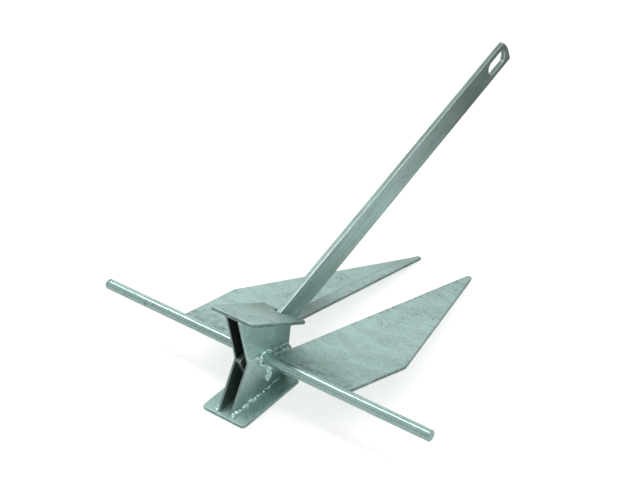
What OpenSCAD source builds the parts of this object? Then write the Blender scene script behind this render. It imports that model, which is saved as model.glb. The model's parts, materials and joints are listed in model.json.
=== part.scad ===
// Twin-fluke sand anchor, fabricated from plate, flat bar and round bar, then galvanised.
// Frame: +X along the stock, +Y towards the fluke tips, +Z up from the ground. The anchor
// stands as it does on deck: on the lower palm's rear edge and on both fluke tips.

/* [Stock] */
// Diameter of the round bar that carries the crown, the flukes and the shank
stock_d = 12; // [10:0.5:14]
// Length of the stock from end to end
stock_len = 440; // [380:5:520]

/* [Crown] */
// Clear gap between the two side plates
gap_w = 13.5; // [12:0.5:16]
// Thickness of the side plates
side_t = 3; // [2.5:0.5:5]
// Thickness of the palms and of the flukes
plate_t = 4; // [3:0.5:6]
// How far the side plates reach forward of the stock's axis
side_front = 40; // [36:1:46]
// How far the side plates reach back at the palms
side_rear = 45.5; // [40:0.5:50]
// How far the side plates reach back at the waist, level with the stock
waist_rear = 25; // [20:0.5:30]
// Radius of the rounded waist
waist_r = 6; // [3:0.5:10]

/* [Palms] */
// Width of each palm plate
palm_w = 58; // [50:1:70]
// Height of a palm's outer face above the stock's axis, measured at that axis
palm_rise = 47; // [44:0.5:52]
// Slope of each palm, closing towards the fluke tips
palm_tilt = 15; // [10:0.5:20]
// How far a palm's outer face reaches back of the stock's axis
palm_rear = 47; // [46:0.5:54]
// How far a palm's outer face reaches forward of the stock's axis
palm_front = 39.5; // [36:0.5:44]
// Radius of a palm's rear corners
palm_corner_r = 5; // [2:0.5:10]

/* [Flukes] */
// Height of the flukes' upper face above the stock's axis
fluke_top = 0.5; // [0:0.1:1.5]
// Distance from the stock's axis to the blunt fluke tip
fluke_len = 347; // [300:1:380]
// Half the distance between the flukes' inner edges, beside the crown
root_in = 16.5; // [14:0.5:20]
// Half the distance between the inner corners of the tips
tip_in = 34; // [30:0.5:42]
// Width of a blunt tip
tip_w = 6; // [3:0.5:10]
// Half the width over the flukes' rear corners, at the stock
wing_root = 112; // [100:1:120]
// Half the width over the flukes' widest corners
wing_out = 120.5; // [105:0.5:130]
// Distance of the widest corners in front of the stock's axis
wing_y = 98; // [85:1:110]
// Half the distance between the two stiffening bends, at the stock
bend_root = 39; // [35:1:45]
// Half the distance between the two stiffening bends, at the outer edges
bend_tip = 45; // [42:0.5:50]
// Angle by which each fluke's inner strip is bent up
bend_angle = 5; // [2:0.5:12]

/* [Shank] */
// Width of the flat bar
shank_w = 30; // [26:1:34]
// Thickness of the flat bar
shank_t = 6; // [5:0.5:8]
// Distance from the pivot to the head's end
shank_len = 495; // [440:5:520]
// Distance from the pivot to the tail's square end
shank_tail = 24; // [22:0.5:26]
// Angle between the shank and the flukes at its stop
stop_angle = 32; // [30:0.5:34]
// How far the shank sits to the left of the middle of the gap
shank_shift = 2.5; // [0:0.1:3]
// Radial clearance of the shank's bore on the stock
bore_play = 0.4; // [0.2:0.05:0.8]
// Radius of the rounded corner of the head
head_r = 30; // [24:1:34]
// How much of the bar's width the rounded corner takes
head_rise = 19; // [10:0.5:22]
// Width of the shackle slot
slot_w = 16; // [12:0.5:18]
// Length of the shackle slot from end to end
slot_len = 35; // [28:1:40]
// Metal between the slot and the head's end
slot_rim = 8.5; // [7:0.5:12]

/* [Welds] */
// Leg of the fillet welds between the side plates and the palms
fillet_leg = 5; // [3:0.5:7]
// Width of the weld rings on the stock, along the stock
ring_w = 5; // [3:0.5:6]
// Height of the weld rings above the stock's surface
ring_h = 4; // [2:0.5:5]
// Width of the seam between the stock and the underside of a fluke
seam_leg = 5; // [3:0.5:7]
// Length of the short upright beads under the stock
tack_len = 16; // [10:1:20]

/* [Hidden] */
$fn = 96;
stop_gap = 0.3;
stock_r = stock_d / 2;
side_x = gap_w / 2;
side_out = side_x + side_t;
tan_tilt = tan(palm_tilt);
// Height of the palm's inner face, and of its outer face, above the stock's axis at y
function palm_in(y) = palm_rise - plate_t / cos(palm_tilt) - y * tan_tilt;
function palm_out(y) = palm_rise - y * tan_tilt;
// The notch ends where the shank's edge meets the palm's inner face
stop_y = (cos(stop_angle) * palm_in(0) - shank_w / 2 - stop_gap)
    / (sin(stop_angle) + cos(stop_angle) * tan_tilt);
bend_y = wing_y + (fluke_len - wing_y) * (wing_out - bend_tip) / (wing_out - tip_in - tip_w);
bend_dir = atan2(bend_tip - bend_root, bend_y - stock_r);
fluke_low = fluke_top - plate_t;
// How much the bend lifts a fluke at a point of its outline
function lift(p) = tan(bend_angle)
    * max(0, (bend_root - p.x) * cos(bend_dir) + (p.y - stock_r) * sin(bend_dir));
tip_rise = lift([tip_in + tip_w, fluke_len]);
// The lean that brings the palm's lower edge and the fluke tips to one level
lean = atan((palm_out(-palm_rear) + fluke_low + tip_rise) / (palm_rear + fluke_len));
pivot_z = palm_out(-palm_rear) * cos(lean) - palm_rear * sin(lean);
// The palm's inner face reaches further back, because the plate's edge is square to its faces
palm_back = palm_rear + plate_t * sin(palm_tilt);
// The origin lies under the middle of the whole anchor
rest_angle = stop_angle - lean;
reach_back = palm_back * cos(lean) + palm_in(-palm_back) * sin(lean);
reach_front = shank_len * cos(rest_angle) + shank_w / 2 * sin(rest_angle);
pivot_y = (reach_back - reach_front) / 2;
slot_mid = shank_len - slot_rim - slot_len / 2;

// Places what is drawn around the pivot, with the flukes level, on the ground
module standing() {
    translate([0, pivot_y, pivot_z]) rotate([-lean, 0, 0]) children();
}

// Draws its children as they are for side 1, and mirrored for side -1
module on_side(side) {
    mirror([side < 0 ? 1 : 0, 0, 0]) children();
}

// Extrudes an outline given as [y, z] points from x = low to x = high
module across(low, high) {
    translate([low, 0, 0]) rotate([90, 0, 90]) linear_extrude(high - low) children();
}

module stock() {
    color([0.66, 0.74, 0.72]) standing()
        translate([-stock_len / 2, 0, 0]) rotate([0, 90, 0]) cylinder(d = stock_d, h = stock_len);
}

module side_outline() {
    waist = atan((side_rear - waist_rear) / palm_in(-side_rear));
    arc_y = -waist_rear - waist_r / cos(waist) + waist_r;
    polygon(concat(
        [[-side_rear, palm_in(-side_rear)]],
        [for (a = [waist:-waist / 4:-waist])
            [arc_y - waist_r + waist_r * cos(a), waist_r * sin(a)]],
        [
            [-side_rear, -palm_in(-side_rear)],
            [side_front, -palm_in(side_front)],
            [side_front, palm_in(side_front)]
        ]
    ));
}

module side_plate(side) {
    color([0.50, 0.58, 0.56]) standing() on_side(side) difference() {
        across(side_x, side_out) side_outline();
        rotate([0, 90, 0]) cylinder(d = stock_d, h = side_out + 1);
    }
}

// A palm drawn flat, with its inner face at z = 0 and the stock's axis at y = 0
module palm_flat() {
    front = (palm_front - plate_t * sin(palm_tilt)) / cos(palm_tilt);
    rear = palm_back / cos(palm_tilt);
    notch = stop_y / cos(palm_tilt);
    difference() {
        union() {
            translate([-palm_w / 2, palm_corner_r - rear, 0])
                cube([palm_w, front + rear - palm_corner_r, plate_t]);
            translate([palm_corner_r - palm_w / 2, -rear, 0])
                cube([palm_w - 2 * palm_corner_r, 2 * palm_corner_r, plate_t]);
            for (x = [-1, 1])
                translate([x * (palm_w / 2 - palm_corner_r), palm_corner_r - rear, 0])
                    cylinder(r = palm_corner_r, h = plate_t);
        }
        translate([-side_x, notch, -1]) cube([gap_w, front, plate_t + 2]);
    }
}

module palm(up) {
    color([0.66, 0.74, 0.72]) standing() mirror([0, 0, up < 0 ? 1 : 0])
        translate([0, 0, palm_in(0)]) rotate([-palm_tilt, 0, 0]) palm_flat();
}

// A plate whose inner strip is bent up along the line between its points 1 and 4
module fluke_plate() {
    rim = [
        [root_in, stock_r], [bend_root, stock_r], [wing_root, stock_r], [wing_out, wing_y],
        [bend_tip, bend_y], [tip_in + tip_w, fluke_len], [tip_in, fluke_len]
    ];
    n = len(rim);
    polyhedron(
        points = [for (t = [0, plate_t]) for (p = rim) [p.x, p.y, fluke_low + t + lift(p)]],
        faces = concat(
            [[0, 1, 4, 5, 6], [1, 2, 3, 4], [n + 6, n + 5, n + 4, n + 1, n], [n + 4, n + 3, n + 2, n + 1]],
            [for (k = [0:n - 1]) [k, k + n, (k + 1) % n + n, (k + 1) % n]]
        )
    );
}

module fluke(side) {
    color([0.63, 0.72, 0.70]) standing() on_side(side) fluke_plate();
}

// The bar lies along +Y from the pivot, with its width along Z
module shank_bar() {
    turn = asin(head_rise / head_r);
    polygon(concat(
        [[-shank_tail, -shank_w / 2], [shank_len, -shank_w / 2]],
        [for (a = [0:turn / 8:turn]) [
            shank_len - head_r + head_r * cos(a),
            shank_w / 2 - head_rise + head_r * sin(a)
        ]],
        [[-shank_tail, shank_w / 2]]
    ));
}

module shackle_slot() {
    half = (slot_len - slot_w) / 2;
    translate([0, slot_mid, 0]) {
        for (s = [-1, 1])
            translate([-gap_w, s * half, 0]) rotate([0, 90, 0]) cylinder(d = slot_w, h = 2 * gap_w);
        translate([-gap_w, -half, -slot_w / 2]) cube([2 * gap_w, 2 * half, slot_w]);
    }
}

module shank() {
    color([0.56, 0.64, 0.62]) standing() translate([-shank_shift, 0, 0])
        rotate([stop_angle, 0, 0]) difference() {
            across(-shank_t / 2, shank_t / 2) shank_bar();
            shackle_slot();
            translate([-gap_w, 0, 0]) rotate([0, 90, 0])
                cylinder(r = stock_r + bore_play, h = 2 * gap_w);
        }
}

// A coned ring of weld where the stock leaves the side plate
module stock_weld(side) {
    color([0.72, 0.80, 0.78]) standing() on_side(side) difference() {
        translate([side_out, 0, 0]) rotate([0, 90, 0])
            cylinder(r1 = stock_r + ring_h, r2 = stock_r + 0.4, h = ring_w);
        rotate([0, 90, 0]) cylinder(d = stock_d, h = side_out + ring_w + 1);
    }
}

// A three-sided fillet along the corner between a side plate and a palm
module palm_weld(side, up) {
    rear = (side_rear - 1) / cos(palm_tilt);
    front = (side_front - 2) / cos(palm_tilt);
    color([0.70, 0.78, 0.76]) standing() on_side(side) mirror([0, 0, up < 0 ? 1 : 0])
        translate([0, 0, palm_in(0)]) rotate([-palm_tilt, 0, 0])
            translate([0, front, 0]) rotate([90, 0, 0]) linear_extrude(front + rear)
                polygon([[side_out, 0], [side_out + fillet_leg, 0], [side_out, -fillet_leg]]);
}

// The seam under the fluke, in the corner that it makes with the stock
module fluke_seam(side) {
    color([0.60, 0.68, 0.66]) standing() on_side(side) difference() {
        across(bend_root, wing_root - seam_leg) polygon([
            [0, fluke_low], [stock_r + seam_leg, fluke_low],
            [stock_r + 0.5, -stock_r - 0.5], [2, 0.3 - stock_r]
        ]);
        rotate([0, 90, 0]) cylinder(d = stock_d, h = wing_root);
    }
}

// The weld that fills the space between a side plate and the root of a fluke
module fluke_root_weld(side) {
    front = side_front - 4;
    low = fluke_low - 0.5;
    color([0.50, 0.56, 0.54]) standing() on_side(side) difference() {
        translate([0, front, 0]) rotate([90, 0, 0]) linear_extrude(front - stock_r - ring_h)
            polygon([
                [side_out, low], [root_in + 2, low], [root_in + 3, fluke_top + 2.5],
                [side_out, fluke_top + 6]
            ]);
        fluke_plate();
    }
}

// A short upright bead on the side plate, under the stock
module tack_weld(side) {
    color([0.72, 0.80, 0.78]) standing() on_side(side) translate([side_out, 3, -28])
        linear_extrude(tack_len) polygon([[0, 0], [4, 2], [4, 6], [0, 9]]);
}

stock();
side_plate(-1);  // side_plate_left
side_plate(1);  // side_plate_right
palm(1);  // upper_palm
palm(-1);  // lower_palm
fluke(-1);  // fluke_left
fluke(1);  // fluke_right
shank();
stock_weld(-1);  // stock_weld_left
stock_weld(1);  // stock_weld_right
palm_weld(-1, 1);  // upper_palm_weld_left
palm_weld(1, 1);  // upper_palm_weld_right
palm_weld(-1, -1);  // lower_palm_weld_left
palm_weld(1, -1);  // lower_palm_weld_right
fluke_seam(-1);  // fluke_seam_left
fluke_seam(1);  // fluke_seam_right
fluke_root_weld(-1);  // fluke_root_weld_left
fluke_root_weld(1);  // fluke_root_weld_right
tack_weld(-1);  // tack_weld_left
tack_weld(1);  // tack_weld_right
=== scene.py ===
"""The looks of a twin-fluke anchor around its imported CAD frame: plates, bars and weld beads in zinc."""
import json
import math
import random

import bmesh
import bpy
from mathutils import Matrix, Vector, geometry, noise


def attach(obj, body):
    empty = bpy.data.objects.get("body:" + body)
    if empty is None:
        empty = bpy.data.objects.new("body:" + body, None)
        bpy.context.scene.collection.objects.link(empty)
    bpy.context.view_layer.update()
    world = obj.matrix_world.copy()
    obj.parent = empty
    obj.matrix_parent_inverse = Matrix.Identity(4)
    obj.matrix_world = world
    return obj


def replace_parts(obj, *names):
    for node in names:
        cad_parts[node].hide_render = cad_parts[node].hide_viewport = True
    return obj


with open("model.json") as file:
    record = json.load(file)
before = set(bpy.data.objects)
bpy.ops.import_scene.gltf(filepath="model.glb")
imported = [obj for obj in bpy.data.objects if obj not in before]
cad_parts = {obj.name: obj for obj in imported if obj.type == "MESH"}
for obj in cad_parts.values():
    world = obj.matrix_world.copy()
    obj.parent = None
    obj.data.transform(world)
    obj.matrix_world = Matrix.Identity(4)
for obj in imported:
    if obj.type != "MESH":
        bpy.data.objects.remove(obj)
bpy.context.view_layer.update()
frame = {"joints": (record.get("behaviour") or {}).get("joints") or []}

# ---------------------------------------------------------------- sizes, in mm, as the CAD has them
STOCK_R, STOCK_LEN = 6.0, 440.0
SIDE_IN, SIDE_T, PLATE_T = 6.75, 3.0, 4.0
SIDE_OUT = SIDE_IN + SIDE_T
SIDE_FRONT, SIDE_REAR, WAIST_REAR, WAIST_R = 40.0, 45.5, 25.0, 6.0
PALM_W, PALM_RISE, PALM_TILT = 58.0, 47.0, math.radians(15)
PALM_REAR, PALM_FRONT = 47.0, 39.5
FLUKE_TOP, FLUKE_LEN = 0.5, 347.0
ROOT_IN, TIP_IN, TIP_W = 16.5, 34.0, 6.0
WING_ROOT, WING_OUT, WING_Y = 112.0, 120.5, 98.0
BEND_ROOT, BEND_TIP, BEND = 39.0, 45.0, math.radians(5)
SHANK_W, SHANK_T, SHANK_LEN, SHANK_TAIL = 30.0, 6.0, 495.0, 24.0
STOP, SHANK_SHIFT, BORE_R = math.radians(32), 2.5, 6.4
HEAD_R, HEAD_RISE = 30.0, 19.0
SLOT_W, SLOT_LEN, SLOT_RIM = 16.0, 35.0, 8.5
STOP_GAP = 0.3
MM = 0.001

# The look of the surfaces, in mm: an edge's radius, a plate's triangles, how far in the last ring of a
# rounded edge lies, and how uneven the dip leaves plates, round bar and welds
EDGE, PALM_EDGE = 0.9, 1.0
MESH_PLATE, MESH_FLUKE, MESH_SHANK = 3.5, 5.0, 4.0
SUPPORT = 0.6
UNEVEN_PLATE, UNEVEN_ROD, UNEVEN_WELD = 0.10, 0.14, 0.28
FOLD_SOFT = 2.5
CREASE_STEP = 3.5


def palm_in(y):
    """Height of a palm's inner face above the stock's axis."""
    return PALM_RISE - PLATE_T / math.cos(PALM_TILT) - y * math.tan(PALM_TILT)


STOP_Y = (math.cos(STOP) * palm_in(0) - SHANK_W / 2 - STOP_GAP) / (
    math.sin(STOP) + math.cos(STOP) * math.tan(PALM_TILT)
)
BEND_Y = WING_Y + (FLUKE_LEN - WING_Y) * (WING_OUT - BEND_TIP) / (WING_OUT - TIP_IN - TIP_W)
BEND_DIR = math.atan2(BEND_TIP - BEND_ROOT, BEND_Y - STOCK_R)
FLUKE_LOW = FLUKE_TOP - PLATE_T
TIP_RISE = math.tan(BEND) * (
    (BEND_ROOT - TIP_IN - TIP_W) * math.cos(BEND_DIR) + (FLUKE_LEN - STOCK_R) * math.sin(BEND_DIR)
)
LEAN = math.atan(
    (PALM_RISE + PALM_REAR * math.tan(PALM_TILT) + FLUKE_LOW + TIP_RISE) / (PALM_REAR + FLUKE_LEN)
)
PIVOT = Vector(frame["joints"][0]["pos_m"])

# Millimetres around the pivot, with the flukes level, to metres on the ground
STAND = Matrix.Translation(PIVOT) @ Matrix.Rotation(-LEAN, 4, "X") @ Matrix.Scale(MM, 4)
MIRROR = Matrix.Scale(-1, 4, (1, 0, 0))
# A drawing in (y, z) with its thickness along x
UPRIGHT = Matrix(((0, 0, 1, 0), (1, 0, 0, 0), (0, 1, 0, 0), (0, 0, 0, 1)))


def side_matrix(side):
    return STAND @ (MIRROR if side < 0 else Matrix.Identity(4))


# ---------------------------------------------------------------- plates and bars
def soften(points):
    """A closed outline's corners from (u, v, corner radius) points, with arcs."""
    path = []
    count = len(points)
    for i, (u, v, r) in enumerate(points):
        here = Vector((u, v))
        back = Vector(points[i - 1][:2]) - here
        on = Vector(points[(i + 1) % count][:2]) - here
        turn = back.angle(on)
        if r <= 0 or turn > math.pi - 0.02:
            path.append(here)
            continue
        reach = min(r / math.tan(turn / 2), 0.45 * back.length, 0.45 * on.length)
        r = reach * math.tan(turn / 2)
        centre = here + (back.normalized() + on.normalized()).normalized() * r / math.sin(turn / 2)
        start = here + back.normalized() * reach - centre
        end = here + on.normalized() * reach - centre
        swing = start.angle_signed(end)
        parts = max(2, round(abs(swing) * max(r, 1.5) / 0.9))
        for k in range(parts + 1):
            a = -swing * k / parts
            path.append(centre + Vector((
                start.x * math.cos(a) - start.y * math.sin(a),
                start.x * math.sin(a) + start.y * math.cos(a),
            )))
    return path


def parting(corners, step):
    """How many parts each side of an outline is divided into."""
    return [max(1, round((corners[(i + 1) % len(corners)] - p).length / step)) for i, p in enumerate(corners)]


def spread(corners, parts):
    """The outline's points, with each side divided evenly."""
    out = []
    for i, p in enumerate(corners):
        q = corners[(i + 1) % len(corners)]
        out += [p.lerp(q, k / parts[i]) for k in range(parts[i])]
    return out


def circle(u, v, r, parts=48):
    """A hole's outline, clockwise."""
    return [
        Vector((u + r * math.cos(a), v - r * math.sin(a)))
        for a in (2 * math.pi * k / parts for k in range(parts))
    ]


def inset(loop, distance):
    """Moves each point of an outline to its left, towards the metal."""
    out = []
    for i, p in enumerate(loop):
        a = (p - loop[i - 1]).normalized()
        b = (loop[(i + 1) % len(loop)] - p).normalized()
        m, n = Vector((-a.y, a.x)), Vector((-b.y, b.x))
        out.append(p + (m + n) * distance / max(0.2, 1 + m.dot(n)))
    return out


def inside(u, v, loops):
    """Whether a point lies between an outline and the holes in it."""
    odd = False
    for loop in loops:
        for i, p in enumerate(loop):
            q = loop[i - 1]
            if (p.y > v) != (q.y > v) and u < (q.x - p.x) * (v - p.y) / (q.y - p.y) + p.x:
                odd = not odd
    return odd


def clearance(u, v, loops):
    """The distance from a point to the nearest point of the outlines."""
    here = Vector((u, v))
    return math.sqrt(min((p - here).length_squared for loop in loops for p in loop))


def cap(loops, step, extra=()):
    """Even triangles over the area between the outlines: points and triples of their numbers."""
    points = [p for loop in loops for p in loop]
    edges = []
    base = 0
    for loop in loops:
        edges += [(base + i, base + (i + 1) % len(loop)) for i in range(len(loop))]
        base += len(loop)
    border = len(points)
    points += [Vector(p) for p in extra]
    away = 0.6 * step
    us = [p.x for p in loops[0]]
    vs = [p.y for p in loops[0]]
    row = 0
    v = min(vs) + step / 2
    while v < max(vs):
        u = min(us) + step * (0.5 + 0.5 * (row % 2))
        while u < max(us):
            if inside(u, v, loops) and clearance(u, v, loops) > away and all(
                (Vector(p) - Vector((u, v))).length > away for p in extra
            ):
                points.append(Vector((u, v)))
            u += step
        v += step * 0.87
        row += 1
    verts, _, faces, origin, _, _ = geometry.delaunay_2d_cdt(points, edges, [], 0, 1e-6, True)
    names = [min(sources) if sources else None for sources in origin]
    kept = []
    for face in faces:
        centre = sum((verts[k] for k in face), Vector((0, 0))) / 3
        if inside(centre.x, centre.y, loops):
            kept.append(tuple(names[k] for k in face))
    return points[border:], kept


def new_piece(name, verts, faces, body, material):
    """A mesh piece with outward faces and smooth shading, which rides on a body."""
    mesh = bpy.data.meshes.new(name)
    mesh.from_pydata([tuple(v) for v in verts], [], faces)
    work = bmesh.new()
    work.from_mesh(mesh)
    bmesh.ops.recalc_face_normals(work, faces=work.faces)
    for face in work.faces:
        face.smooth = True
    work.to_mesh(mesh)
    work.free()
    piece = bpy.data.objects.new(name, mesh)
    bpy.context.scene.collection.objects.link(piece)
    mesh.materials.append(material)
    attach(piece, body)
    return piece


def dipped(co, seed, amount, scale=0.012):
    """How a hot zinc dip leaves a surface slightly uneven."""
    p = co / scale + Vector((seed * 7.3, seed * 3.1, seed * 5.7))
    return noise.noise_vector(p) * amount * MM


def slab(name, corners, low, high, r, matrix, step, body, material, shape=None, extra=(), seed=1):
    """A plate with rounded edges and an evenly divided, slightly uneven surface."""
    steps = 4
    quarter = [math.pi / 2 * k / steps for k in range(steps + 1)]
    levels = [(low, r + SUPPORT)]
    levels += [(low + r * (1 - math.cos(a)), r * (1 - math.sin(a))) for a in quarter]
    levels += [(high - r * (1 - math.cos(a)), r * (1 - math.sin(a))) for a in reversed(quarter)]
    levels += [(high, r + SUPPORT)]
    verts, faces = [], []
    parts = [parting(loop, step) for loop in corners]
    loops = [spread(loop, counts) for loop, counts in zip(corners, parts)]
    per_ring = sum(len(loop) for loop in loops)
    for w, d in levels:
        for loop, counts in zip(corners, parts):
            verts += [Vector((p.x, p.y, w)) for p in spread(inset(loop, d), counts)]
    for k in range(len(levels) - 1):
        base = 0
        for loop in loops:
            for i in range(len(loop)):
                a = k * per_ring + base + i
                b = k * per_ring + base + (i + 1) % len(loop)
                faces.append((a, b, b + per_ring, a + per_ring))
            base += len(loop)
    rim = [spread(inset(loop, r + SUPPORT), counts) for loop, counts in zip(corners, parts)]
    middle, triangles = cap(rim, step, extra)
    for w, first in ((low, 0), (high, (len(levels) - 1) * per_ring)):
        base = len(verts)
        verts += [Vector((p.x, p.y, w)) for p in middle]
        for tri in triangles:
            faces.append(tuple(first + t if t < per_ring else base + t - per_ring for t in tri))
    if shape:
        verts = [shape(v) for v in verts]
    verts = [matrix @ v for v in verts]
    verts = [v + dipped(v, seed, UNEVEN_PLATE) for v in verts]
    return new_piece(name, verts, faces, body, material)


def rod(name, body, material):
    """The stock: a round bar with eased ends and slight runs of zinc."""
    half = STOCK_LEN / 2
    ease = 0.9
    profile = [(-half, 0.0), (-half, STOCK_R - 3), (-half, STOCK_R - ease)]
    profile += [
        (-half + ease * (1 - math.cos(a)), STOCK_R - ease * (1 - math.sin(a)))
        for a in (math.pi / 8 * k for k in range(1, 5))
    ]
    count = 150
    profile += [(-half + ease + (STOCK_LEN - 2 * ease) * k / count, STOCK_R) for k in range(1, count)]
    profile += [(-x, r) for x, r in reversed(profile[:7])]
    around = 48
    verts, faces = [], []
    for x, r in profile[1:-1]:
        for k in range(around):
            a = 2 * math.pi * k / around
            verts.append(Vector((x, r * math.cos(a), r * math.sin(a))))
    rings = len(profile) - 2
    for i in range(rings - 1):
        for k in range(around):
            n = (k + 1) % around
            faces.append((i * around + k, i * around + n, (i + 1) * around + n, (i + 1) * around + k))
    for x, base in ((-half, 0), (half, (rings - 1) * around)):
        verts.append(Vector((x, 0, 0)))
        for k in range(around):
            faces.append((base + k, base + (k + 1) % around, len(verts) - 1))
    verts = [STAND @ v for v in verts]
    verts = [v + dipped(v, 9, UNEVEN_ROD, 0.009) for v in verts]
    return new_piece(name, verts, faces, body, material)


# ---------------------------------------------------------------- weld beads
def bead(name, blobs, matrix, voxel, body, material, seed):
    """Overlapping drops, each (centre, radii), melted into one lumpy closed skin."""
    rng = random.Random(seed)
    work = bmesh.new()
    for centre, radii in blobs:
        turn = Matrix.Rotation(rng.uniform(-0.4, 0.4), 4, "X") @ Matrix.Rotation(rng.uniform(-0.4, 0.4), 4, "Z")
        place = matrix @ Matrix.Translation(centre) @ turn @ Matrix.Diagonal((*radii, 1))
        bmesh.ops.create_icosphere(work, subdivisions=2, radius=1.0, matrix=place)
    mesh = bpy.data.meshes.new(name + "_drops")
    work.to_mesh(mesh)
    work.free()
    lump = bpy.data.objects.new(name + "_drops", mesh)
    bpy.context.scene.collection.objects.link(lump)
    melt = lump.modifiers.new("melt", "REMESH")
    melt.mode = "VOXEL"
    melt.voxel_size = voxel * MM
    ease = lump.modifiers.new("ease", "SMOOTH")
    ease.factor = 0.5
    ease.iterations = 2
    shape = lump.evaluated_get(bpy.context.evaluated_depsgraph_get()).to_mesh()
    verts = [v.co.copy() for v in shape.vertices]
    faces = [tuple(p.vertices) for p in shape.polygons]
    bpy.data.objects.remove(lump)
    bpy.data.meshes.remove(mesh)
    verts = [v + dipped(v, seed, UNEVEN_WELD, 0.0028) for v in verts]
    return new_piece(name, verts, faces, body, material)


def line_of_drops(rng, start, end, spacing, radii, jitter, fade=1.0):
    """Drops along a line; fade is the size of the last drop relative to the first."""
    start, end = Vector(start), Vector(end)
    count = max(2, round((end - start).length / spacing))
    out = []
    for k in range(count + 1):
        t = k / count
        size = (1 + (fade - 1) * t) * rng.uniform(1 - jitter, 1 + jitter)
        shift = Vector([rng.uniform(-1, 1) * jitter * r for r in radii])
        out.append((start.lerp(end, t) + shift, [r * size for r in radii]))
    return out


# ---------------------------------------------------------------- materials
TONE = (0.40, 0.57, 0.537)
ROD_Y = PIVOT.y


def tree(name):
    """A new material with its nodes, links and shader."""
    material = bpy.data.materials.new(name)
    material.use_nodes = True
    nodes, links = material.node_tree.nodes, material.node_tree.links
    return material, nodes, links, nodes["Principled BSDF"]


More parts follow.
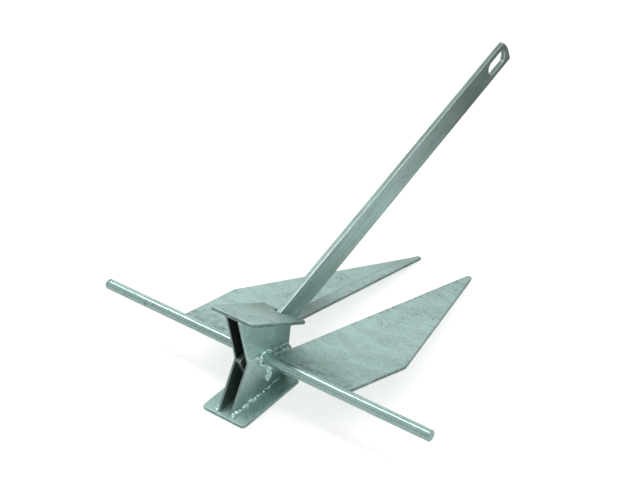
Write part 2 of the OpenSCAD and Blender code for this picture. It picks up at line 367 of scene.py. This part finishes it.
def zinc(name, tone, rough, specks=0.5, streak=(1, 1, 1), bump=0.25, shade_band=None, line=None,
         gap=None, rim=None, grooves=False, low=None, fade=None, along=None):
    """Hot-dip zinc: faint crystal patches, cloudy mottling, dark specks and a satin sheen.

    tone is the mean colour, specks the strength of the dark specks and of the painted shade band, and streak the
    stretch of the clouds.
    shade_band is (centre y, reach) of a ragged band of painted shade near where the parts meet.
    line is ((x, y), (x, y)) of a crease, seen from above, marked by a thin darker line; the strip to the
    right of it gets painted shade towards the line's first point.
    gap is the x within which metal gets painted shade, inside the gap between the side plates.
    rim is the axis across a plate, whose cut edges get painted shade.
    grooves paints shade into a weld's hollows and a highlight on its crests.
    low is the height below which a plate gets painted shade, with painted shadow under the fluke's root.
    fade is (from y, to y, slope) of a bar whose wide faces get painted shade towards the head, with streaks
    along the slope, painted shade on the narrow faces and a painted highlight on the rounded edges.
    along is (y, other y, strength at y, strength at the other y) of a darkening along y: painted shade near the
    crown, and on the flukes darker towards the tips.
    """
    material, nodes, links, shader = tree(name)
    coords = nodes.new("ShaderNodeTexCoord")

    def noise_map(scale, detail=3.0, stretch=(1, 1, 1), roughness=0.55, distortion=0.0, turn=0.0):
        mapping = nodes.new("ShaderNodeMapping")
        mapping.vector_type = "TEXTURE"
        mapping.inputs["Rotation"].default_value = (turn, 0, 0)
        mapping.inputs["Scale"].default_value = [1 / k for k in stretch]
        links.new(coords.outputs["Object"], mapping.inputs["Vector"])
        node = nodes.new("ShaderNodeTexNoise")
        node.inputs["Scale"].default_value = scale
        node.inputs["Detail"].default_value = detail
        node.inputs["Roughness"].default_value = roughness
        node.inputs["Distortion"].default_value = distortion
        links.new(mapping.outputs["Vector"], node.inputs["Vector"])
        return node.outputs["Fac"]

    def ramp(value, low, high, to_low=0.0, to_high=1.0):
        node = nodes.new("ShaderNodeMapRange")
        node.inputs["From Min"].default_value = low
        node.inputs["From Max"].default_value = high
        node.inputs["To Min"].default_value = to_low
        node.inputs["To Max"].default_value = to_high
        links.new(value, node.inputs["Value"])
        return node.outputs["Result"]

    def maths(kind, a, b):
        node = nodes.new("ShaderNodeMath")
        node.operation = kind
        for socket, value in zip(node.inputs, (a, b)):
            if isinstance(value, (int, float)):
                socket.default_value = value
            else:
                links.new(value, socket)
        return node.outputs["Value"]

    def blend(fac, a, b):
        node = nodes.new("ShaderNodeMix")
        node.data_type = "RGBA"
        links.new(fac, node.inputs["Factor"])
        for socket, value in ((node.inputs["A"], a), (node.inputs["B"], b)):
            if isinstance(value, tuple):
                socket.default_value = (*value, 1)
            else:
                links.new(value, socket)
        return node.outputs["Result"]

    def axes(output):
        node = nodes.new("ShaderNodeSeparateXYZ")
        links.new(coords.outputs[output], node.inputs["Vector"])
        return node.outputs

    def size_of(value):
        return maths("ABSOLUTE", value, 0.0)

    def shade(k, warm=0.0):
        return tuple(min(1, c * k * (1 + warm * w)) for c, w in zip(tone, (1, 0, -0.6)))

    clouds = noise_map(26, 4, streak, 0.6, 0.4)
    mottle = noise_map(150, 3, streak)
    colour = blend(ramp(clouds, 0.32, 0.68), shade(0.82, 0.03), shade(1.13))
    colour = blend(ramp(mottle, 0.35, 0.75, 0.0, 0.5), colour, shade(0.74))
    crystals = nodes.new("ShaderNodeTexVoronoi")
    crystals.inputs["Scale"].default_value = 170
    links.new(coords.outputs["Object"], crystals.inputs["Vector"])
    cell = nodes.new("ShaderNodeSeparateColor")
    links.new(crystals.outputs["Color"], cell.inputs["Color"])
    colour = blend(ramp(cell.outputs["Red"], 0, 1, 0.0, 0.12), colour, shade(1.25))

    place = axes("Object")
    facing = axes("Normal")
    patches = ramp(noise_map(30, 4, (1, 1, 1), 0.6, 0.8), 0.54, 0.66)
    dots = ramp(noise_map(330, 3, (1, 1, 1), 0.65), 0.52, 0.60)
    dirt_and_shade = maths("MULTIPLY", patches, dots)
    # Painted shade: a ragged darker band near where the parts meet at the crown, joined with the dark specks.
    if shade_band:
        centre, reach = shade_band
        near = ramp(size_of(maths("SUBTRACT", place["Y"], centre)), 0.0, reach, 1.0, 0.0)
        band = maths("MULTIPLY", near, ramp(noise_map(120, 4, (1, 1, 1), 0.7), 0.38, 0.62))
        dirt_and_shade = maths("MAXIMUM", dirt_and_shade, maths("MULTIPLY", band, 0.75))
    grit = maths("MULTIPLY", ramp(noise_map(800, 1, (1, 1, 1), 0.5), 0.60, 0.70), 0.6)
    dirt_and_shade = maths("MAXIMUM", dirt_and_shade, grit)
    # Dark specks and the painted shade band, darkened together.
    colour = blend(maths("MULTIPLY", dirt_and_shade, specks), colour, shade(0.24))
    flecks = ramp(noise_map(600, 2, (1, 1, 1), 0.5), 0.60, 0.72, 0.0, 0.55)
    colour = blend(flecks, colour, shade(1.5))
    if line:
        (x0, y0), (x1, y1) = line
        length = math.hypot(x1 - x0, y1 - y0)
        nx, ny = (y1 - y0) / length, -(x1 - x0) / length
        off = maths("ADD", maths("MULTIPLY", place["X"], nx), maths("MULTIPLY", place["Y"], ny))
        off = maths("SUBTRACT", off, x0 * nx + y0 * ny)
        # Painted shade on the strip beside the crease, strongest near the crown.
        painted_shade = maths("MULTIPLY", ramp(off, 0.0, 0.001), ramp(off, 0.002, 0.024, 1.0, 0.7))
        painted_shade = maths("MULTIPLY", painted_shade, ramp(place["Y"], y0 + 0.12, y0 + 0.19, 0.9, 0.0))
        colour = blend(painted_shade, colour, shade(0.2))
        thin = ramp(size_of(off), 0.0002, 0.0011, 1.0, 0.0)
        thin = maths("MULTIPLY", thin, ramp(noise_map(70, 3), 0.35, 0.6, 0.25, 0.95))
        colour = blend(thin, colour, shade(0.45))
    if gap:
        # Painted shade inside the gap between the side plates.
        colour = blend(ramp(size_of(place["X"]), gap, gap + 0.0006, 0.92, 0.0), colour, shade(0.07))
    # Darker along y: painted shade near the crown on the palms, side plates and shank; on the flukes, darker
    # towards the tips.
    if along:
        colour = blend(ramp(place["Y"], *along), colour, shade(0.38))
    if fade:
        start, end, slope = fade
        across = size_of(facing["X"])
        wide = ramp(across, 0.6, 0.9)
        edge_highlight = maths("MULTIPLY", ramp(across, 0.3, 0.5), ramp(across, 0.85, 0.98, 1.0, 0.0))
        # Painted shade on the bar's narrow faces.
        colour = blend(ramp(across, 0.1, 0.3, 0.75, 0.0), colour, shade(0.42))
        # Painted highlight on the rounded edges between the faces.
        colour = blend(edge_highlight, colour, (0.92, 1.0, 0.97))
        streaks = noise_map(190, 3, (1, 0.05, 1), turn=slope)
        colour = blend(ramp(streaks, 0.48, 0.68, 0.0, 0.38), colour, shade(0.42))
        colour = blend(ramp(streaks, 0.32, 0.46, 0.26, 0.0), colour, shade(1.35))
        # Painted shade on the wide faces, growing towards the head.
        painted_shade = maths("MULTIPLY", wide, ramp(place["Y"], start, end, 0.0, 0.85))
        colour = blend(maths("MULTIPLY", painted_shade, ramp(clouds, 0.3, 0.6, 0.8, 1.0)), colour, shade(0.22))
    if low:
        # Painted shade on the plate's lower part.
        below = ramp(place["Z"], low - 0.02, low + 0.012, 0.62, 0.0)
        colour = blend(below, colour, shade(0.42))
        # Painted shadow under the fluke's root, towards the front.
        corner = maths("MULTIPLY", ramp(place["Z"], low - 0.004, low + 0.004, 1.0, 0.0),
                       ramp(place["Y"], ROD_Y + 0.010, ROD_Y + 0.028, 0.0, 0.7))
        colour = blend(corner, colour, shade(0.3))
    if rim:
        # Painted shade on the plates' cut edges.
        edge = ramp(size_of(facing[rim]), 0.35, 0.85, 1.0, 0.0)
        edge = maths("MULTIPLY", edge, ramp(noise_map(140, 3), 0.3, 0.6, 0.35, 0.9))
        colour = blend(edge, colour, shade(0.42))
    if grooves:
        crest = nodes.new("ShaderNodeNewGeometry").outputs["Pointiness"]
        # Painted shade in the weld's hollows.
        colour = blend(ramp(crest, 0.43, 0.495, 0.95, 0.0), colour, shade(0.12))
        # Painted highlight on the weld's crests.
        colour = blend(ramp(crest, 0.505, 0.54, 0.0, 0.7), colour, shade(1.4))
    links.new(colour, shader.inputs["Base Color"])
    grain = noise_map(90, 4, streak, 0.6)
    links.new(ramp(grain, 0.3, 0.7, rough - 0.06, rough + 0.08), shader.inputs["Roughness"])
    shader.inputs["Metallic"].default_value = 0.8
    soft = nodes.new("ShaderNodeBump")
    soft.inputs["Strength"].default_value = bump
    soft.inputs["Distance"].default_value = 0.0006
    ripple = maths("MULTIPLY", noise_map(480, 3), 0.25)
    links.new(maths("ADD", noise_map(60, 3, streak), ripple), soft.inputs["Height"])
    links.new(soft.outputs["Normal"], shader.inputs["Normal"])
    return material


def tinted(k):
    """The zinc's tone, lighter or darker."""
    return tuple(min(1, c * k) for c in TONE)


zinc_fluke = zinc(
    "zinc_fluke", TONE, 0.42, specks=0.9, streak=(0.8, 1.6, 1), shade_band=(ROD_Y + 0.012, 0.035), rim="Z",
    along=(ROD_Y + 0.10, ROD_Y + 0.33, 0.0, 0.26),
)
crease = [STAND @ Vector((-BEND_ROOT, STOCK_R, 0)), STAND @ Vector((-BEND_TIP, BEND_Y, 0))]
zinc_creased = zinc(
    "zinc_creased", TONE, 0.42, specks=0.9, streak=(0.8, 1.6, 1), shade_band=(ROD_Y + 0.012, 0.035),
    line=[(p.x, p.y) for p in crease], rim="Z", along=(ROD_Y + 0.10, ROD_Y + 0.33, 0.0, 0.3),
)
zinc_crown = zinc(
    "zinc_crown", tinted(1.08), 0.42, specks=0.7, bump=0.4, shade_band=(ROD_Y + 0.036, 0.03), rim="Z",
    along=(ROD_Y, ROD_Y + 0.04, 0.0, 0.5),
)
# The side plates are the same zinc, lifted to 1.36 of its tone: painted light.
zinc_cheek = zinc(
    "zinc_cheek", tinted(1.36), 0.38, specks=0.8, bump=0.3, shade_band=(ROD_Y + 0.036, 0.028),
    gap=SIDE_IN * MM + 0.0004, rim="X", low=PIVOT.z - 0.004, along=(ROD_Y, ROD_Y + 0.036, 0.0, 0.5),
)
zinc_bar = zinc(
    "zinc_bar", tinted(0.98), 0.35, specks=0.5, streak=(1, 0.35, 1), bump=0.25,
    shade_band=(ROD_Y + 0.03, 0.11), fade=(0.03, 0.17, STOP - LEAN), along=(ROD_Y + 0.03, ROD_Y + 0.11, 0.5, 0.0),
)
zinc_stock = zinc("zinc_stock", TONE, 0.22, specks=0.95, streak=(0.3, 1, 1), bump=0.4)
# The welds' tone is lifted to 1.4 of the zinc's: painted sheen.
zinc_weld = zinc("zinc_weld", tinted(1.4), 0.2, specks=0.7, bump=0.6, grooves=True)
zinc_rough = zinc("zinc_rough", tinted(0.8), 0.36, specks=0.9, bump=0.7, grooves=True)

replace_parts(rod("stock_bar", "crown", zinc_stock), "stock")

waist = math.atan((SIDE_REAR - WAIST_REAR) / palm_in(-SIDE_REAR))
arc_y = -WAIST_REAR - WAIST_R / math.cos(waist) + WAIST_R
arc = [
    (arc_y - WAIST_R + WAIST_R * math.cos(a), WAIST_R * math.sin(a), 0)
    for a in (waist - waist * k / 4 for k in range(9))
]
side_outline = [(-SIDE_REAR, palm_in(-SIDE_REAR), 1.8)] + arc + [
    (-SIDE_REAR, -palm_in(-SIDE_REAR), 1.8),
    (SIDE_FRONT, -palm_in(SIDE_FRONT), 1.8),
    (SIDE_FRONT, palm_in(SIDE_FRONT), 1.8),
]
for side, hand in ((-1, "left"), (1, "right")):
    plate = slab(
        "cheek_plate_" + hand, [soften(side_outline), circle(0, 0, STOCK_R)], SIDE_IN, SIDE_OUT, EDGE,
        side_matrix(side) @ UPRIGHT, MESH_PLATE, "crown", zinc_cheek, seed=3 + side,
    )
    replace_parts(plate, "side_plate_" + hand)

rear = -(PALM_REAR + PLATE_T * math.sin(PALM_TILT)) / math.cos(PALM_TILT)
front = (PALM_FRONT - PLATE_T * math.sin(PALM_TILT)) / math.cos(PALM_TILT)
notch = STOP_Y / math.cos(PALM_TILT)
palm_outline = [
    (-PALM_W / 2, rear, 5), (PALM_W / 2, rear, 5), (PALM_W / 2, front, 1.9), (SIDE_IN, front, 1.8),
    (SIDE_IN, notch, 0.4), (-SIDE_IN, notch, 0.4), (-SIDE_IN, front, 1.8), (-PALM_W / 2, front, 1.9),
]
for up, name in ((1, "upper_palm"), (-1, "lower_palm")):
    flip = Matrix.Scale(-1, 4, (0, 0, 1)) if up < 0 else Matrix.Identity(4)
    lie = STAND @ flip @ Matrix.Translation((0, 0, palm_in(0))) @ Matrix.Rotation(-PALM_TILT, 4, "X")
    plate = slab(
        name + "_plate", [soften(palm_outline)], 0, PLATE_T, PALM_EDGE, lie, MESH_PLATE,
        "crown", zinc_crown, seed=7 + up,
    )
    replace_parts(plate, name)


def bent(v):
    """Bends a fluke's inner strip up along its crease, with a small radius."""
    reach = (BEND_ROOT - v.x) * math.cos(BEND_DIR) + (v.y - STOCK_R) * math.sin(BEND_DIR)
    if reach <= -FOLD_SOFT:
        return v
    lift = math.tan(BEND) * ((reach + FOLD_SOFT) ** 2 / (4 * FOLD_SOFT) if reach < FOLD_SOFT else reach)
    return Vector((v.x, v.y, v.z + lift))


fluke_outline = [
    (WING_ROOT, STOCK_R - 1.5, 0), (WING_OUT, WING_Y, 3), (TIP_IN + TIP_W, FLUKE_LEN, 1.9),
    (TIP_IN, FLUKE_LEN, 1.9), (ROOT_IN, STOCK_R - 1.5, 0),
]
crease_points = []
along = 1.5
while along < BEND_Y - STOCK_R - 2:
    for across in (-FOLD_SOFT, 0, FOLD_SOFT):
        crease_points.append((
            BEND_ROOT + along * math.sin(BEND_DIR) + across * math.cos(BEND_DIR),
            STOCK_R + along * math.cos(BEND_DIR) - across * math.sin(BEND_DIR),
        ))
    along += CREASE_STEP
for side, hand in ((-1, "left"), (1, "right")):
    outline = soften(fluke_outline)
    rim = inset(outline, 1.5)
    points = [p for p in crease_points if inside(*p, [rim]) and clearance(*p, [rim]) > 1.0]
    plate = slab(
        "fluke_plate_" + hand, [outline], FLUKE_LOW, FLUKE_TOP, EDGE, side_matrix(side), MESH_FLUKE, "crown",
        zinc_creased if side < 0 else zinc_fluke, shape=bent, extra=points, seed=12 + side,
    )
    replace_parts(plate, "fluke_" + hand)

# ---------------------------------------------------------------- the shank
raised = Matrix.Translation(PIVOT) @ Matrix.Rotation(STOP - LEAN, 4, "X") @ Matrix.Scale(MM, 4)
turn = math.asin(HEAD_RISE / HEAD_R)
head = [
    (SHANK_LEN - HEAD_R + HEAD_R * math.cos(a), SHANK_W / 2 - HEAD_RISE + HEAD_R * math.sin(a), 0)
    for a in (turn * k / 12 for k in range(13))
]
shank_outline = [(-SHANK_TAIL, -SHANK_W / 2, 1.8), (SHANK_LEN, -SHANK_W / 2, 1.8)] + head + [
    (-SHANK_TAIL, SHANK_W / 2, 1.8)
]
slot_mid, slot_half = SHANK_LEN - SLOT_RIM - SLOT_LEN / 2, (SLOT_LEN - SLOT_W) / 2
slot_hole = []
for s in (1, -1):
    for k in range(17):
        a = math.pi / 2 - math.pi * k / 16
        slot_hole.append(Vector((
            slot_mid + s * (slot_half + SLOT_W / 2 * math.cos(a)), s * SLOT_W / 2 * math.sin(a)
        )))
bar = slab(
    "shank_bar", [soften(shank_outline), slot_hole, circle(0, 0, BORE_R)], -SHANK_T / 2, SHANK_T / 2, EDGE,
    raised @ Matrix.Translation((-SHANK_SHIFT, 0, 0)) @ UPRIGHT, MESH_SHANK, "shank", zinc_bar,
    seed=21,
)
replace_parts(bar, "shank")

# ---------------------------------------------------------------- the welds
for side, hand in ((-1, "left"), (1, "right")):
    rng = random.Random(40 + side)
    there = side_matrix(side)

    def weld(name, drops, node, material=zinc_weld, voxel=0.5, seed=0):
        piece = bead(name + "_" + hand, drops, there, voxel, "crown", material, seed + side)
        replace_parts(piece, node + "_" + hand)

    # the ring on the stock and the bead that runs from it to the waist
    ring = []
    for k in range(13):
        a = 2 * math.pi * k / 13 + rng.uniform(-0.15, 0.15)
        d = STOCK_R + rng.uniform(1.0, 2.6)
        size = rng.uniform(2.5, 3.9)
        ring.append((Vector((SIDE_OUT + 0.9 + rng.uniform(-0.3, 0.8), d * math.cos(a), d * math.sin(a))),
                     (size, size, size)))
    waist_end, ring_end = (SIDE_OUT - 0.1, -21.5, 3.6), (SIDE_OUT + 0.6, -8, 2.6)
    ring += line_of_drops(rng, waist_end, ring_end, 2.1, (1.5, 1.9, 1.7), 0.3, 1.3)
    weld("ring_bead", ring, "stock_weld", seed=50)
    # fillets between the side plate and both palms
    for up, palm in ((1, "upper"), (-1, "lower")):
        lift = Matrix.Rotation(-PALM_TILT * up, 4, "X")
        ends = []
        for y in (-(SIDE_REAR - 1) / math.cos(PALM_TILT), (SIDE_FRONT - 2) / math.cos(PALM_TILT)):
            ends.append(Vector((SIDE_OUT + 0.8, 0, up * palm_in(0))) + lift @ Vector((0, y, -0.9 * up)))
        if up > 0:
            drops = line_of_drops(rng, ends[0], ends[1], 1.7, (2.2, 1.9, 2.2), 0.08)
        else:
            drops = line_of_drops(rng, ends[0], ends[1], 2.5, (2.9, 2.5, 3.6), 0.34, 0.25)
        weld(palm + "_fillet", drops, palm + "_palm_weld", seed=60 + up)
    # the rough weld between the side plate and the fluke's root
    rough = line_of_drops(rng, (SIDE_OUT + 2.6, 11, -0.2), (SIDE_OUT + 3.4, 36, 0.4), 2.4, (4.2, 2.2, 3.0), 0.25)
    rough += line_of_drops(rng, (SIDE_OUT + 0.6, 13, 3.6), (SIDE_OUT + 0.6, 36, 4.0), 2.6, (1.5, 1.8, 2.2), 0.3)
    weld("root_bead", rough, "fluke_root_weld", zinc_rough, seed=70)
    # the seam under the fluke
    seam = line_of_drops(rng, (BEND_ROOT, 6.4, -5.0), (WING_ROOT - 5, 6.4, -5.0), 2.2, (2.0, 2.6, 1.7), 0.15)
    weld("seam_bead", seam, "fluke_seam", voxel=0.6, seed=80)
    # the short upright bead under the stock
    top, foot = (SIDE_OUT + 0.5, 8.0, -12.5), (SIDE_OUT + 0.5, 8.0, -27.5)
    tack = line_of_drops(rng, top, foot, 2.4, (3.2, 4.6, 3.2), 0.1)
    weld("tack_bead", tack, "tack_weld", seed=90)

# ---------------------------------------------------------------- floor, light and camera
def plain(name, level, glow=0.0):
    """A dull grey material, which may shine a little by itself."""
    material, _, _, shader = tree(name)
    shader.inputs["Base Color"].default_value = (level, level, level, 1)
    shader.inputs["Roughness"].default_value = 0.9
    shader.inputs["Emission Color"].default_value = (1, 1, 1, 1)
    shader.inputs["Emission Strength"].default_value = glow
    # A grey, matt material, which may shine a little by itself.
    return material


def sheet_of(name, width, depth, centre, material, seen=True, mirrored=True):
    """A level sheet of the stage, which the camera sees or which only the metal mirrors."""
    mesh = bpy.data.meshes.new(name)
    w, d = width / 2, depth / 2
    mesh.from_pydata([(-w, -d, 0), (w, -d, 0), (w, d, 0), (-w, d, 0)], [], [(0, 1, 2, 3)])
    mesh.materials.append(material)
    obj = bpy.data.objects.new(name, mesh)
    bpy.context.scene.collection.objects.link(obj)
    obj.matrix_world = Matrix.Translation(centre)
    obj.visible_camera = seen
    obj.visible_glossy = mirrored
    if not seen:
        obj.visible_shadow = obj.visible_diffuse = False
    return obj


FLOOR_SIZE = 24
sheet_of("floor", FLOOR_SIZE, FLOOR_SIZE, (0, 0, -0.0004), plain("floor_white", 0.5, 0.66), mirrored=False)
# What the metal mirrors instead of the white floor: a grey one, with a dark card to the rear right
sheet_of("floor_grey", FLOOR_SIZE, FLOOR_SIZE, (0, 0, -0.0006), plain("stage_grey", 0.80), seen=False)
sheet_of("flag", 1.3, 1.5, (1.15, 1.35, 0.002), plain("flag_black", 0.05), seen=False)


def softbox(name, place, aim, width, height, power):
    """A rectangular lamp, which the camera doesn't see."""
    data = bpy.data.lights.new(name, "AREA")
    data.shape = "RECTANGLE"
    data.size, data.size_y = width, height
    data.energy = power
    obj = bpy.data.objects.new(name, data)
    bpy.context.scene.collection.objects.link(obj)
    obj.location = place
    obj.rotation_euler = (Vector(aim) - Vector(place)).to_track_quat("-Z", "Y").to_euler()
    obj.visible_camera = False
    return obj


softbox("softbox_top", (0, -0.25, 1.9), (0, 0, 0), 3.8, 0.5, 19)
softbox("softbox_left", (-1.25, -0.25, 1.85), (0, 0, 0), 0.9, 0.6, 3)
softbox("softbox_back", (-1.6, 2.2, 1.3), (0, 0, 0.1), 2.4, 1.2, 8)

world = bpy.data.worlds.new("studio")
bpy.context.scene.world = world
world.use_nodes = True
w_nodes, w_links = world.node_tree.nodes, world.node_tree.links
background = w_nodes["Background"]
w_coords = w_nodes.new("ShaderNodeTexCoord")
w_split = w_nodes.new("ShaderNodeSeparateXYZ")
w_links.new(w_coords.outputs["Generated"], w_split.inputs["Vector"])
w_ramp = w_nodes.new("ShaderNodeValToRGB")
w_links.new(w_split.outputs["Z"], w_ramp.inputs["Fac"])
stops = w_ramp.color_ramp.elements
stops[0].position, stops[0].color = 0.0, (0.34, 0.34, 0.34, 1)
stops[1].position, stops[1].color = 1.0, (0.62, 0.62, 0.62, 1)
for where, level in ((0.13, 0.38), (0.27, 0.62)):
    stop = stops.new(where)
    stop.color = (level, level, level, 1)
w_links.new(w_ramp.outputs["Color"], background.inputs["Color"])
background.inputs["Strength"].default_value = 1.0

# The camera's place and its right and up directions, from the pivot with the flukes level
LEVEL = Matrix.Rotation(-LEAN, 3, "X")
eye = STAND @ Vector((829.1, -1039.6, 688.4))
right = (LEVEL @ Vector((0.776, 0.622, 0.099))).normalized()
up = LEVEL @ Vector((-0.313, 0.245, 0.918))
back = right.cross(up).normalized()
up = back.cross(right)
lens = bpy.data.cameras.new("view")
lens.sensor_width = 36.0
lens.lens = 81.1
lens.clip_start, lens.clip_end = 0.01, 60
camera = bpy.data.objects.new("view", lens)
bpy.context.scene.collection.objects.link(camera)
camera.matrix_world = Matrix.Translation(eye) @ Matrix((right, up, back)).transposed().to_4x4()
bpy.context.scene.camera = camera
bpy.context.scene.view_settings.view_transform = "Standard"
bpy.context.scene.view_settings.exposure = 0.0
